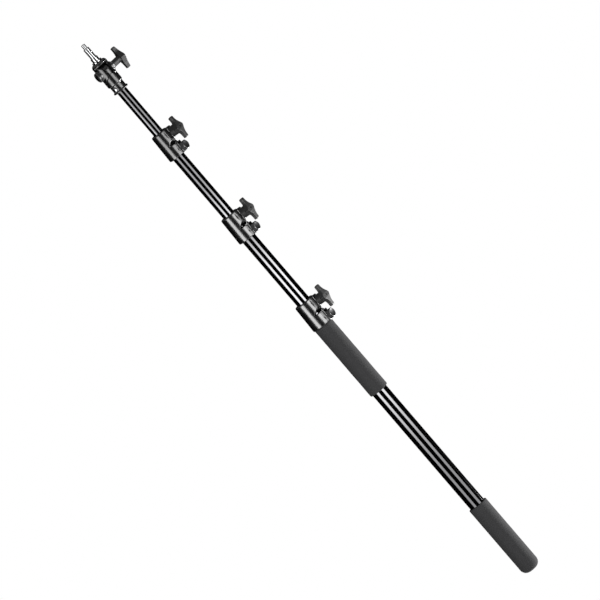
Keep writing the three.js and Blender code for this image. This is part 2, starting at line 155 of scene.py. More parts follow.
def shaded(piece, sharp=CREASE["plain"]):
    """Smooth shading, with a crease where two faces meet at more than `sharp` degrees."""
    piece.data.shade_smooth()
    piece.data.set_sharp_from_angle(angle=math.radians(sharp))
    return piece


def from_bmesh(name, shape):
    """An object from a bmesh, with its faces pointing out."""
    bmesh.ops.recalc_face_normals(shape, faces=shape.faces)
    mesh = bpy.data.meshes.new(name)
    shape.to_mesh(mesh)
    shape.free()
    return shaded(link(name, mesh))


def rounded(corners, step=12):
    """A closed profile of (radius, height, fillet) corners. Each fillet is an arc of points, no more
    than `step` degrees apart."""
    points = []
    for index, (x, y, fillet) in enumerate(corners):
        here = Vector((x, y))
        if fillet == 0:
            points.append(tuple(here))
            continue
        before = (Vector(corners[index - 1][:2]) - here).normalized()
        after = (Vector(corners[(index + 1) % len(corners)][:2]) - here).normalized()
        half = before.angle(after) / 2
        centre = here + (before + after).normalized() * fillet / math.sin(half)
        start = here + before * fillet / math.tan(half) - centre
        turn = math.pi - 2 * half
        side = 1 if before.x * after.y - before.y * after.x < 0 else -1
        count = max(2, math.ceil(math.degrees(turn) / step))
        for i in range(count + 1):
            spoke = start.copy()
            spoke.rotate(Matrix.Rotation(side * turn * i / count, 2))
            points.append(tuple(centre + spoke))
    return points


def dense(profile, step):
    """The profile with extra points, so that no two are further apart than `step`."""
    points = []
    for here, there in zip(profile, profile[1:]):
        count = max(1, math.ceil(math.dist(here, there) / step))
        for i in range(count):
            share = i / count
            points.append(tuple(a + (b - a) * share for a, b in zip(here, there)))
    return points + [profile[-1]]


def turned(name, profile, sides=ROUND, ring=False):
    """A body turned round +Z. A radius is a number, or a function of the angle round the axis.
    The profile starts and ends on the axis, or is a ring that closes on itself."""
    shape = bmesh.new()
    angles = [2 * math.pi * i / sides for i in range(sides)]
    rows = []
    for radius, height in profile:
        if not callable(radius) and radius < 1e-6:
            rows.append([shape.verts.new((0, 0, height * MM))])
            continue
        row = []
        for angle in angles:
            out = (radius(angle) if callable(radius) else radius) * MM
            row.append(shape.verts.new((out * math.cos(angle), out * math.sin(angle), height * MM)))
        rows.append(row)
    for low, high in zip(rows, rows[1:] + (rows[:1] if ring else [])):
        for i in range(sides):
            j = (i + 1) % sides
            corners = [low[i % len(low)], low[j % len(low)], high[j % len(high)], high[i % len(high)]]
            corners = list(dict.fromkeys(corners))
            if len(corners) > 2:
                shape.faces.new(corners)
    return from_bmesh(name, shape)


def rod(radius, bottom, top, sides=FINE):
    return turned("rod", [(0, bottom), (radius, bottom), (radius, top), (0, top)], sides)


def sleeve(name, inner, outer, bottom, top, edge, sides=ROUND):
    """A plain ring with rounded edges."""
    corners = [(inner, bottom, edge), (outer, bottom, edge), (outer, top, edge), (inner, top, edge)]
    return turned(name, rounded(corners, 30), sides, ring=True)


def prism(outline, thickness, axes):
    """A flat outline with its thickness centred on the third axis. `axes` says which axis each of
    the outline's two numbers and the thickness lies on, such as "xzy"."""
    order = ["xyz".index(axis) for axis in axes]
    shape = bmesh.new()
    ends = []
    for depth in (-thickness / 2, thickness / 2):
        ring = []
        for a, b in outline:
            point = [0, 0, 0]
            for axis, value in zip(order, (a, b, depth)):
                point[axis] = value * MM
            ring.append(shape.verts.new(point))
        ends.append(ring)
    for ring in ends:
        shape.faces.new(ring)
    for i in range(len(outline)):
        j = (i + 1) % len(outline)
        shape.faces.new([ends[0][i], ends[0][j], ends[1][j], ends[1][i]])
    return from_bmesh("prism", shape)


def moved(piece, matrix):
    piece.data.transform(matrix)
    return piece


def side_on(piece, height):
    """Turns a piece made along +Z to stand out along +X at a height on the pole."""
    return moved(piece, Matrix.Translation((0, 0, height * MM)) @ Matrix.Rotation(math.pi / 2, 4, "Y"))


def side_rod(radius, start, end, height, sides=FINE):
    return side_on(rod(radius, start, end, sides), height)


def on_head(piece):
    """Turns a piece made with the head's pivot along +X to where the head is."""
    return moved(piece, Matrix.Rotation(HEAD_TURN, 4, "Z"))


def freeze(piece):
    """Applies the piece's modifiers to its mesh."""
    old = piece.data
    ready = piece.evaluated_get(bpy.context.evaluated_depsgraph_get())
    piece.data = bpy.data.meshes.new_from_object(ready)
    piece.modifiers.clear()
    bpy.data.meshes.remove(old)
    return piece


def combine(piece, operation, tools):
    for tool in tools:
        modifier = piece.modifiers.new("boolean", "BOOLEAN")
        modifier.operation = operation
        modifier.solver = "MANIFOLD"
        modifier.object = tool
        freeze(piece)
        mesh = tool.data
        bpy.data.objects.remove(tool)
        bpy.data.meshes.remove(mesh)
    return piece


def join(piece, *tools):
    return combine(piece, "UNION", tools)


def cut(piece, *tools):
    return combine(piece, "DIFFERENCE", tools)


def overlap(piece, *tools):
    return combine(piece, "INTERSECT", tools)


def soften(piece, voxel, passes):
    """Rounds every edge, as a cast or moulded piece has them."""
    remesh = piece.modifiers.new("remesh", "REMESH")
    remesh.mode = "VOXEL"
    remesh.voxel_size = voxel * MM
    smooth = piece.modifiers.new("smooth", "SMOOTH")
    smooth.factor = 0.5
    smooth.iterations = passes
    return freeze(piece)


def threaded(radius, pitch, depth, start, end):
    """Rows of a right-hand thread between two heights. It fades in and out over a turn."""
    rows = []
    count = math.ceil((end - start) / pitch * THREAD["rows"])
    for i in range(count + 1):
        height = start + (end - start) * i / count
        fade = min(1, (height - start) / pitch, (end - height) / pitch)

        def out(angle, height=height, fade=fade):
            phase = (height / pitch - angle / (2 * math.pi)) % 1
            flank = (abs(phase - 0.5) * 2 - THREAD["crest"]) / THREAD["flanks"]
            return radius - depth * fade * min(1, max(0, flank))

        rows.append((out, height))
    return rows


# ---- Materials ----

NOISE_RANGE = (0.3, 0.7)  # nearly all of a noise texture's values lie between these
WORN_EDGES = (0.54, 0.64)  # pointiness where wear begins, and where it is full


class Finish:
    """A Principled material with its procedural texture, in the piece's own coordinates."""

    def __init__(self, name, **constants):
        self.material = bpy.data.materials.new(name)
        self.material.use_nodes = True
        self.nodes = self.material.node_tree.nodes
        self.links = self.material.node_tree.links
        self.shader = self.nodes["Principled BSDF"]
        for socket, value in constants.items():
            self.shader.inputs[socket.replace("_", " ")].default_value = value
        self.place = self.nodes.new("ShaderNodeTexCoord").outputs["Object"]
        self.bump_below = None

    def stretched(self, x, y, z):
        mapping = self.nodes.new("ShaderNodeMapping")
        mapping.inputs["Scale"].default_value = (x, y, z)
        self.links.new(self.place, mapping.inputs["Vector"])
        return mapping.outputs["Vector"]

    def noise(self, scale, detail, vector=None):
        node = self.nodes.new("ShaderNodeTexNoise")
        node.inputs["Scale"].default_value = scale
        node.inputs["Detail"].default_value = detail
        self.links.new(vector or self.place, node.inputs["Vector"])
        return node.outputs["Fac"]

    def pores(self, scale):
        node = self.nodes.new("ShaderNodeTexVoronoi")
        node.inputs["Scale"].default_value = scale
        self.links.new(self.place, node.inputs["Vector"])
        return node.outputs["Distance"]

    def edges(self):
        """1 on the piece's worn outer edges, 0 elsewhere."""
        pointiness = self.nodes.new("ShaderNodeNewGeometry").outputs["Pointiness"]
        return self.ranged(pointiness, *WORN_EDGES, 0, 1)

    def ranged(self, value, low, high, out_low, out_high):
        node = self.nodes.new("ShaderNodeMapRange")
        limits = {"From Min": low, "From Max": high, "To Min": out_low, "To Max": out_high}
        for socket, number in limits.items():
            node.inputs[socket].default_value = number
        self.links.new(value, node.inputs["Value"])
        return node.outputs["Result"]

    def blended(self, factor, first, second):
        """A colour between two, each a colour or an output."""
        node = self.nodes.new("ShaderNodeMix")
        node.data_type = "RGBA"
        self.links.new(factor, node.inputs["Factor"])
        for socket, colour in (("A", first), ("B", second)):
            target = [s for s in node.inputs if s.name == socket and s.type == "RGBA"][0]
            if isinstance(colour, tuple):
                target.default_value = (*colour, 1)
            else:
                self.links.new(colour, target)
        return [s for s in node.outputs if s.type == "RGBA"][0]

    def colour(self, output):
        self.links.new(output, self.shader.inputs["Base Color"])
        return self

    def roughness(self, value, rough_low, rough_high):
        rough = self.ranged(value, *NOISE_RANGE, rough_low, rough_high)
        self.links.new(rough, self.shader.inputs["Roughness"])
        return self

    def bump(self, height, distance, strength):
        """A relief of `distance` millimetres. A second one lies on top of the first."""
        node = self.nodes.new("ShaderNodeBump")
        node.inputs["Strength"].default_value = strength
        node.inputs["Distance"].default_value = distance * MM
        self.links.new(height, node.inputs["Height"])
        if self.bump_below:
            self.links.new(self.bump_below, node.inputs["Normal"])
        self.bump_below = node.outputs["Normal"]
        self.links.new(self.bump_below, self.shader.inputs["Normal"])
        return self


def gloss_black_tube():
    """Black anodised tube, polished, with the faint lines of its drawing along its length."""
    finish = Finish("gloss_black_tube", Metallic=1.0)
    drawn = finish.noise(1, 4, finish.stretched(1400, 1400, 12))
    cloudy = finish.noise(30, 3)
    finish.colour(finish.blended(cloudy, (0.092, 0.092, 0.095), (0.105, 0.105, 0.108)))
    finish.roughness(drawn, 0.05, 0.10)
    return finish.bump(drawn, 0.0002, 0.2).material


def satin_black_casting():
    """Black paint on a die casting: fine orange peel, rubbed a little paler on its edges."""
    finish = Finish("satin_black_casting", IOR=1.75)
    peel = finish.noise(620, 2)
    cloudy = finish.noise(90, 3)
    paint = finish.blended(cloudy, (0.0008, 0.0008, 0.0009), (0.0018, 0.0018, 0.0019))
    finish.colour(finish.blended(finish.edges(), paint, (0.006, 0.006, 0.006)))
    finish.roughness(cloudy, 0.20, 0.27)
    return finish.bump(peel, 0.004, 0.2).material


def moulded_plastic(name, dark, pale, rough_low, rough_high):
    """A moulded plastic with a fine spark-eroded texture."""
    finish = Finish(name, IOR=1.5)
    grain = finish.noise(2600, 2)
    cloudy = finish.noise(120, 3)
    body = finish.blended(cloudy, dark, pale)
    finish.colour(finish.blended(finish.edges(), body, tuple(2 * c for c in pale)))
    finish.roughness(grain, rough_low, rough_high)
    return finish.bump(grain, 0.004, 0.3).material


def grip_foam():
    """Black foam with an open skin: pores with painted shade in them, a mottled tone and no shine."""
    finish = Finish("grip_foam", IOR=1.35)
    pores = finish.pores(1300)
    mottle = finish.noise(420, 4)
    tone = finish.blended(mottle, (0.012, 0.012, 0.0125), (0.027, 0.027, 0.028))
    # painted shade: the colour goes darker in each pore, as if shade fell in the hollow
    finish.colour(finish.blended(finish.ranged(pores, 0.05, 0.35, 1, 0), tone, (0.007, 0.007, 0.007)))
    finish.roughness(mottle, 0.86, 1.0)
    finish.bump(pores, 0.25, 0.55)
    return finish.bump(mottle, 0.3, 0.5).material


def plated(name, dark, pale, rough_low, rough_high):
    """A plated or bare metal with fine turning marks."""
    finish = Finish(name, Metallic=1.0)
    marks = finish.noise(1800, 3)
    cloudy = finish.noise(200, 2)
    finish.colour(finish.blended(cloudy, dark, pale))
    finish.roughness(marks, rough_low, rough_high)
    return finish.bump(marks, 0.0006, 0.2).material


KNOB_TONES = [(0.0022, 0.0022, 0.0023), (0.0036, 0.0036, 0.0037)]
NYLON_TONES = [(0.002, 0.002, 0.002), (0.004, 0.004, 0.004)]
MATERIALS = {
    "black_tube": gloss_black_tube(),
    "black_casting": satin_black_casting(),
    "knob_plastic": moulded_plastic("knob_plastic", *KNOB_TONES, 0.38, 0.48),
    "grip_foam": grip_foam(),
    "black_nylon": moulded_plastic("black_nylon", *NYLON_TONES, 0.40, 0.55),
    "chrome": plated("chrome", (0.48, 0.485, 0.49), (0.55, 0.555, 0.56), 0.05, 0.10),
    "black_steel": plated("black_steel", (0.09, 0.09, 0.092), (0.13, 0.13, 0.132), 0.26, 0.36),
    "zinc_steel": plated("zinc_steel", (0.22, 0.223, 0.226), (0.30, 0.303, 0.306), 0.28, 0.38),
    "brass_pad": plated("brass_pad", (0.62, 0.47, 0.20), (0.72, 0.57, 0.27), 0.22, 0.34),
}
SLOT_OF = {row["node"]: row["material_slot"] for row in frame["record"]["subparts"]}
BODIES = frame["record"]["behaviour"]["bodies"]
BODY_OF = {node: body for body, nodes in BODIES.items() for node in nodes}


def place(piece, node, name):
    """Puts a piece in the place of a CAD node: its body, its finish and its name."""
    piece.name = name
    piece.data.name = name
    piece.data.materials.clear()
    piece.data.materials.append(MATERIALS[SLOT_OF[node]])
    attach(piece, BODY_OF[node])
    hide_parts(node)
    return piece


# ---- Tubes and grips ----


def tube(index):
    node = f"tube_{index + 1}"
    low, high = box_mm(node)
    radius = TUBE_RADII[index]
    piece = sleeve("tube", radius - TUBE["wall"], radius, low.z, high.z, TUBE["edge"])
    if node == "tube_4":
        cut(piece, on_head(set_screw_hole()))
        shaded(piece)
    place(piece, node, f"{SECTIONS[index]}_tube")


def foam(name, profile):
    """A foam sleeve. Its rows of points are moved for a fine uneven skin and very slight swells."""
    piece = turned(name, profile, SIDES["grip"], ring=profile[0][0] > 0)
    bore = TUBE_RADII[0] + 2 * GAP
    grain_scale, grain_depth = FOAM_GRAIN
    swell_scale, swell_depth = FOAM_SWELL
    for vertex in piece.data.vertices:
        here = vertex.co
        out = Vector((here.x, here.y, 0))
        if out.length < bore * MM:
            continue
        skin = noise.fractal(here * grain_scale, *FRACTAL) * grain_depth
        swell = noise.noise(Vector((0, SWELL_LINE, here.z * swell_scale))) * swell_depth
        vertex.co += out.normalized() * (skin + swell - FOAM_SINK) * MM
    return shaded(piece, CREASE["foam"])


def end_grip():
    low, high = box_mm("end_grip")
    radius, bore = high.x, TUBE_RADII[0] + GAP
    outside = rounded([
        (0, low.z, 0),
        (radius, low.z, radius - END_GRIP["flat"]),
        (radius, high.z, END_GRIP["rim"]),
        (bore, high.z, GRIP_MOUTH),
        (bore, END_GRIP["floor"], 0),
        (0, END_GRIP["floor"], 0),
    ], 6)
    # extra rows on the butt's flat and the start of its rounding: the long side is straight
    piece = foam("end_grip", dense(outside[:BUTT_POINTS], GRIP_STEP) + outside[BUTT_POINTS:])
    place(piece, "end_grip", "end_grip_foam")


def middle_grip():
    low, high = box_mm("middle_grip")
    radius, bore = high.x, TUBE_RADII[0] + GAP
    profile = rounded([
        (bore, low.z, GRIP_MOUTH),
        (radius, low.z, MIDDLE_GRIP["low_rim"]),
        (radius, high.z, MIDDLE_GRIP["high_rim"]),
        (bore, high.z, GRIP_MOUTH),
    ], 15)
    piece = foam("middle_grip", dense(profile, GRIP_STEP))
    place(piece, "middle_grip", "middle_grip_foam")


# ---- Collars ----


def lug(reach, low, high, half):
    """A wall out to a reach along +X, between two heights, that flares a little towards its end."""
    corners = [(0, low, 0), (reach, low, LUG_EDGE), (reach, high, LUG_EDGE), (0, high, 0)]
    wall = prism(rounded(corners), 4 * half, "xzy")
    end = reach + PAST
    root, tip = half - LUG_FLARE * end, half + LUG_FLARE
    flare = prism([(-PAST, -root), (end, -tip), (end, tip), (-PAST, root)], high - low + 2 * PAST, "xyz")
    return overlap(wall, moved(flare, Matrix.Translation((0, 0, (low + high) / 2 * MM))))


def collar(index):
    """The casting clamped on a section's tip end, with the lugs of its clamp knob and its bolt."""
    spot = PLACES[index]
    low, high = box_mm(f"{spot}_collar_body")
    top, bottom, reach, butt = high.z, low.z, high.x, -low.x
    tip = butt - COLLAR["taper"]
    inner, outer = TUBE_RADII[index + 1], TUBE_RADII[index]
    seat = butt + BOLT_LUG["rise"]
    knob_at, bolt_at = top - KNOB_LUG["depth"], top - BOLT_LUG["depth"]
    edge = COLLAR["edge"]
    shell = turned("shell", rounded([
        (0, bottom, 0), (butt, bottom, edge), (tip, top, edge), (0, top, 0),
    ]), SIDES["large"])
    body = join(
        shell,
        lug(reach, top - NOTCH["near"], top, KNOB_LUG["half"]),
        lug(seat, bottom, top - NOTCH["far"], BOLT_LUG["half"]),
    )
    notch = prism([
        (NOTCH["floor"], top - NOTCH["apex"]),
        (reach + FAR_PAST, top - NOTCH["far"]),
        (reach + FAR_PAST, top - NOTCH["near"]),
        (tip, top - NOTCH["near"]),
    ], 4 * butt, "xzy")
    soften(cut(body, notch), *SOFTNESS["collar"])
    cut(
        body,
        rod(inner + COLLAR["clearance"], bottom - PAST, top + PAST, ROUND),
        rod(inner + LINER["wall"] + 2 * GAP, top - LINER["length"] - GAP, top + PAST, ROUND),
        rod(outer + GAP, bottom - PAST, top - COLLAR["shoulder"] + GAP, ROUND),
        side_rod(PAD["radius"] + GAP, 0, inner + PAD["pocket"], knob_at),
        side_rod(STUD["radius"] + GAP, 0, reach + PAST, knob_at),
        side_rod(BOLT["shank"] + GAP, 0, seat + PAST, bolt_at),
    )
    place(shaded(body, CREASE["cast"]), f"{spot}_collar_body", f"{spot}_collar_casting")


def collar_liner(index):
    """The wear liner in the collar's mouth. Its lip is the dark ring round the inner tube."""
    spot = PLACES[index]
    low, high = box_mm(f"{spot}_collar_liner")
    inner = TUBE_RADII[index + 1] + GAP
    ring = sleeve("liner", inner, inner + LINER["wall"], low.z, high.z + LINER["lip"], LINER["edge"])
    cut(ring, side_rod(PAD["radius"] + GAP, 0, inner + FAR_PAST, high.z - KNOB_LUG["depth"]))
    place(shaded(ring), f"{spot}_collar_liner", f"{spot}_collar_wear_ring")


def hexagon(flats, limit=math.inf):
    """The radius of a hexagon with rounded corners, no further out than `limit`."""
    def out(angle):
        off = (angle + math.pi / 6) % (math.pi / 3) - math.pi / 6
        return min(flats / 2 / math.cos(off), limit)
    return out


def collar_bolt(index):
    """The hexagon bolt beside the clamp knob, with the bevelled crown of a real bolt head."""
    spot = PLACES[index]
    low, high = box_mm(f"{spot}_collar_bolt")
    flats, bevel, corner = BOLT["flats"], BOLT["bevel"], BOLT["flats"] / math.sqrt(3)
    seat = high.x - BOLT["height"]
    crown = []
    for i in range(BOLT["steps"] + 1):
        share = i / BOLT["steps"]
        limit = corner + 0.1 - bevel * share ** 2 * BOLT["curve"]
        crown.append((hexagon(flats, limit), high.x - bevel * (1 - share)))
    rows = [(0, low.x), (BOLT["shank"], low.x), (BOLT["shank"], seat)]
    rows += [(hexagon(flats, corner - 0.3), seat), (hexagon(flats, corner - 0.08), seat + 0.25)] + crown
    rows += [(flats / 2 - 0.9, high.x), (flats / 2 - 1.6, high.x - 0.25), (0, high.x - 0.3)]
    piece = side_on(turned("bolt", rows, SIDES["large"]), (low.z + high.z) / 2)
    place(shaded(piece, CREASE["bolt"]), f"{spot}_collar_bolt", f"{spot}_collar_hex_bolt")


# ---- Clamp knobs ----


def knob(height, drop, stem, hole):
    """A winged knob on its round hub, with its wing along X, its axis on Z and its foot at 0."""
    half, apex = WING["half"], WING["apex"]
    rim, peak, waist, end = WING_EDGES.values()
    shoulder = height - drop
    under = shoulder - WING["depth"]
    side = rounded([
        (-half, under, rim),
        (half, under, rim),
        (half + WING["flare"], shoulder, rim),
        (apex, height, peak),
        (-apex, height, peak),
        (-half - WING["flare"], shoulder, rim),
    ])
    quarter = [(along, -width, waist if 0 < along < half else end) for along, width in WING_WIDTHS]
    lower = [(-x, y, fillet) for x, y, fillet in reversed(quarter[1:])] + quarter
    plan = rounded(lower + [(-x, -y, fillet) for x, y, fillet in lower])
    wing = overlap(prism(side, 4 * WING_WIDTHS[0][1], "xzy"), prism(plan, 4 * height, "xyz"))
    hub = turned("hub", rounded([
        (0, 0, 0), (stem, 0, HUB_EDGE), (stem, under + PAST, 0), (0, under + PAST, 0),
    ]), SIDES["medium"])
    piece = soften(join(wing, hub), *SOFTNESS["knob"])
    bottom, top = height - DIMPLE["depth"], height + PAST
    hollow = [(0, bottom), (DIMPLE["floor"], height - DIMPLE["side"]), (DIMPLE["mouth"], top), (0, top)]
    dimple = turned("dimple", hollow, SIDES["dimple"])
    return cut(piece, rod(STUD["radius"] + GAP, -PAST, hole), dimple)


def clamp_knob(index):
    spot = PLACES[index]
    low, high = box_mm(f"{spot}_clamp_knob")
    shape = knob(high.x - low.x, **CLAMP_KNOB, hole=THREAD_HOLE)
    piece = side_on(moved(shape, Matrix.Translation((0, 0, low.x * MM))), (low.z + high.z) / 2)
    place(shaded(piece, CREASE["knob"]), f"{spot}_clamp_knob", f"{spot}_winged_knob")


def clamp_stud(index):
    spot = PLACES[index]
    low, high = box_mm(f"{spot}_clamp_stud")
    plain = STUD_ENDS["plain"]
    rows = [(0, low.x), (STUD_ENDS["tip"], low.x), (STUD_ENDS["chamfer"], low.x + 0.4)]
    rows += threaded(**STUD, start=low.x + plain, end=high.x - plain)
    rows += [(STUD_ENDS["butt"], high.x), (0, high.x)]
    piece = side_on(turned("stud", rows, FINE), (low.z + high.z) / 2)
    place(piece, f"{spot}_clamp_stud", f"{spot}_threaded_stud")


# ---- Head ----


def set_screw_hole():
    """The set screw's hole through the socket and the tip tube, in the head's own frame."""
    hole = side_rod(SET_THREAD["radius"] + GAP, 0, SOCKET["radius"] + FAR_PAST, SET_SCREW["height"])
    return moved(hole, Matrix.Rotation(SET_SCREW["angle"], 4, "Z"))


def round_the_pivot(radius, degrees):
    """Points at a radius round the head's pivot, seen along the pivot."""
    arc = [math.radians(angle) for angle in degrees]
    return [(radius * math.cos(a), PIVOT_HEIGHT + radius * math.sin(a)) for a in arc]


def head_socket():
    """The cap over the tip tube, with the tongue that the fork tilts on."""
    low, _ = box_mm("head_socket")
    tube_top = box_mm("tube_4")[1].z
    bore = TUBE_RADII[3] + GAP
    lip_top, slope = low.z + SOCKET["lip"], SOCKET["slope"]
    cup = turned("cup", rounded([
        (0, low.z, 0),
        (SOCKET["lip_radius"], low.z, 0.6),
        (SOCKET["lip_radius"], lip_top, 0.7),
        (SOCKET["radius"], lip_top + slope, slope),
        (SOCKET["radius"], SOCKET["step"] - slope, slope),
        (SOCKET["step_radius"], SOCKET["step"] + slope, slope),
        (SOCKET["step_radius"], SADDLE["top"], 1.2),
        (0, SADDLE["top"], 0),
    ]), SIDES["large"])
    root = PIVOT_HEIGHT - SADDLE["radius"] - TONGUE["root"]
    outline = [(-TONGUE["radius"], root), (TONGUE["radius"], root)]
    outline += round_the_pivot(TONGUE["radius"], range(0, 181, 6))
    crowned = rod(TONGUE["radius"], root, CROWN["top"], ROUND)
    tongue = overlap(prism(outline, 2 * TONGUE["half"], "yzx"), crowned)
    reach = 2 * SOCKET["step_radius"]
    cut(cup, side_rod(SADDLE["radius"], -reach, reach, PIVOT_HEIGHT, ROUND))
    body = soften(join(cup, tongue), *SOFTNESS["socket"])
    cut(
        body,
        rod(bore, low.z - PAST, tube_top + GAP, ROUND),
        side_rod(STUD["radius"] + GAP, -TONGUE["drill"], TONGUE["drill"], PIVOT_HEIGHT),
        set_screw_hole(),
    )
    place(on_head(shaded(body, CREASE["cast"])), "head_socket", "tip_socket")


def tilt_fork():
    """The fork that straddles the tongue, with the domed crown that the spigot stands on."""
    reach, barrel, disc = FORK["reach"], FORK["barrel"], FORK["disc"]
    bottom, crown = PIVOT_HEIGHT - disc, PIVOT_HEIGHT + disc
    cheeks = prism(round_the_pivot(disc, range(0, 360, 5)), 2 * reach, "yzx")
    barrel_rod = rod(barrel, bottom - PAST, crown + PAST, SIDES["large"])
    boss = side_on(turned("boss", rounded([
        (0, -reach, 0), (FORK["boss"], -reach, 0.6), (FORK["boss"], reach, 0.6), (0, reach, 0),
    ]), SIDES["boss"]), PIVOT_HEIGHT)
    dome = turned("dome", rounded([
        (0, crown - PAST, 0),
        (NECK["foot"], crown - PAST, 0),
        (NECK["top"], crown + GAP, 0),
        (CROWN["radius"], crown + GAP, 0),
        (CROWN["radius"], CROWN["top"], CROWN["top"] - CROWN["shoulder"]),
        (0, CROWN["top"], 0),
    ]), SIDES["large"])
    half, low, high = NECK["half"], crown - PAST, crown + PAST
    neck = prism([(-half, low), (half, low), (half, high), (-half, high)], NECK["length"], "yzx")
    mouth = prism([
        (-FORK["slot"], bottom - 4), (FORK["slot"], bottom - 4),
        (FORK["slot"], PIVOT_HEIGHT + FORK["floor"]), (-FORK["slot"], PIVOT_HEIGHT + FORK["floor"]),
    ], 4 * barrel, "xzy")
    body = soften(join(overlap(cheeks, barrel_rod), boss, neck, dome), *SOFTNESS["fork"])
    cut(
        body,
        mouth,
        side_rod(STUD["radius"] + GAP, -reach - 2 * PAST, reach + 2 * PAST, PIVOT_HEIGHT),
        rod(SPIGOT["stud"] + GAP, PIVOT_HEIGHT + FORK["floor"] - PAST, CROWN["top"] + PAST),
    )
    place(on_head(shaded(body, CREASE["cast"])), "tilt_fork", "head_fork")


def head_ring(node, name, outer, start, end, edge):
    """A washer on the pivot bolt."""
    ring = sleeve("ring", STUD["radius"] + GAP, outer, start, end, edge, SIDES["medium"])
    place(on_head(side_on(ring, PIVOT_HEIGHT)), node, name)


def friction_washer(side, way):
    """The washer between the tongue and the fork's cheek, on the knob's or the bolt head's side."""
    start, end = sorted([way * (TONGUE["half"] + GAP), way * (FORK["slot"] - GAP)])
    node, name = f"friction_washer_{side}_side", f"{side}_side_washer"
    head_ring(node, name, FRICTION_WASHER["radius"], start, end, FRICTION_WASHER["edge"])


def head_washer():
    start = FORK["reach"] + GAP
    end = start + HEAD_WASHER["thickness"]
    radius, edge = HEAD_WASHER["radius"], HEAD_WASHER["edge"]
    head_ring("head_washer", "head_knob_washer", radius, start, end, edge)


def pivot_bolt():
    """The bolt through the fork: a domed head with a hexagon socket, and a threaded end."""
    seat, end = -FORK["reach"] - GAP, FORK["reach"] + PIVOT_PROUD
    radius, rise, rim = PIVOT_HEAD["radius"], PIVOT_HEAD["rise"], PIVOT_HEAD["rim"]
    floor, key = seat - PIVOT_HEAD["socket"], hexagon(PIVOT_HEAD["key"])
    arc = [math.radians(angle) for angle in range(30, 91, 6)]
    dome = [(radius * math.sin(a), seat - rim - (rise - rim) * math.cos(a)) for a in arc]
    rows = [(0, floor), (key, floor), (key, seat - rise + 0.35)]
    rows += [(3.3, seat - rise + 0.22)] + dome
    rows += [(radius, seat - 0.3), (radius - 0.3, seat)]
    rows += [(STUD["radius"], seat), (STUD["radius"], FORK["reach"] - 2)]
    rows += threaded(**STUD, start=FORK["reach"] - 1.9, end=end - STUD_ENDS["plain"])
    rows += [(STUD_ENDS["butt"], end), (0, end)]
    bolt = shaded(turned("bolt", rows, SIDES["medium"]), CREASE["screw"])
    place(on_head(side_on(bolt, PIVOT_HEIGHT)), "pivot_bolt", "head_pivot_bolt")


def head_knob():
    foot = FORK["reach"] + HEAD_WASHER["thickness"] + 2 * GAP
    shape = shaded(knob(**HEAD_KNOB, hole=PIVOT_PROUD + GAP), CREASE["knob"])
    piece = side_on(moved(shape, Matrix.Translation((0, 0, foot * MM))), PIVOT_HEIGHT)
    place(on_head(piece), "head_knob", "head_winged_knob")


def set_screw():
    """The screw that holds the socket on the tip tube, with a cross recess in its head."""
    seat, end, shank = SOCKET["radius"] + GAP, SET_SCREW["end"], SET_THREAD["radius"]
    head, brim = SET_SCREW["head"], seat + SET_SCREW["brim"]
    rows = [(0, end), (1.3, end)]
    rows += threaded(**SET_THREAD, start=end + 0.3, end=seat - 0.2)
    rows += [(shank, seat), (head - 0.2, seat), (head, seat + 0.2), (head, brim)]
    arc = [math.radians(angle) for angle in range(15, 76, 15)]
    rows += [(head * math.cos(a), brim + math.sin(a)) for a in arc]
    rows += [(0, brim + 1)]
    screw = turned("screw", rows, FINE)
    half, reach, thickness = CROSS["half"], CROSS["reach"], CROSS["thickness"]
    recess = [(-half, -reach), (half, -reach), (half, reach), (-half, reach)]
    slots = [prism(recess, thickness, "xyz"), prism([(y, x) for x, y in recess], thickness, "xyz")]
    lift = Matrix.Translation((0, 0, (seat + CROSS["middle"]) * MM))
    cut(screw, *[moved(slot, lift) for slot in slots])
    screw = side_on(shaded(screw, CREASE["screw"]), SET_SCREW["height"])
    moved(screw, Matrix.Rotation(SET_SCREW["angle"], 4, "Z"))
    place(on_head(screw), "head_set_screw", "socket_set_screw")


def spigot():
    """The chromed spigot: a 3/8 inch-16 thread and a 1/4 inch-20 thread on a flanged base."""
    low, high = box_mm("spigot")
    stud, flange, base = SPIGOT["stud"], SPIGOT["flange"], SPIGOT["base"]
    large, small = LARGE_THREAD["radius"], SMALL_THREAD["radius"]
    seat = CROWN["top"] + GAP
    flange_top, base_top, large_top = SPIGOT_TOPS["flange"], SPIGOT_TOPS["base"], SPIGOT_TOPS["large"]
    foot = rounded([
        (0, low.z, 0),
        (stud, low.z, 0.4),
        (stud, seat, 0),
        (flange, seat, 0.3),
        (flange, flange_top, 0.6),
        (base - 0.2, flange_top, 0.5),
        (base, base_top, 0.8),
        (large, base_top, 0),
        (0, base_top, 0),
    ])[:-1]
    rows = foot + threaded(**LARGE_THREAD, start=base_top + 0.6, end=large_top - 0.7)
    rows += [(large - 0.5, large_top - 0.15), (large - 0.8, large_top), (small, large_top)]
    rows += threaded(**SMALL_THREAD, start=large_top + 0.2, end=high.z - 0.8)
    rows += [(small - 0.5, high.z - 0.15), (small - 0.75, high.z), (0, high.z)]
    place(shaded(turned("spigot", rows, SIDES["large"]), CREASE["spigot"]), "spigot", "chrome_spigot")


def build():
    for index in range(4):
        tube(index)
    end_grip()
    middle_grip()
    for index in range(3):
        collar(index)
        collar_liner(index)
        collar_bolt(index)
        clamp_knob(index)
        clamp_stud(index)
    head_socket()
    set_screw()
    tilt_fork()
    friction_washer("knob", 1)
    friction_washer("bolt", -1)
    head_washer()
    pivot_bolt()
    head_knob()
    spigot()


def finish_cad_nodes():
    """Gives every CAD node its finish. The pads, the guides and the butt plug stay as they are."""
    for node, piece in frame["nodes"].items():
        piece.data.materials.clear()
        piece.data.materials.append(MATERIALS[SLOT_OF[node]])


# ---- Camera, light and floor ----

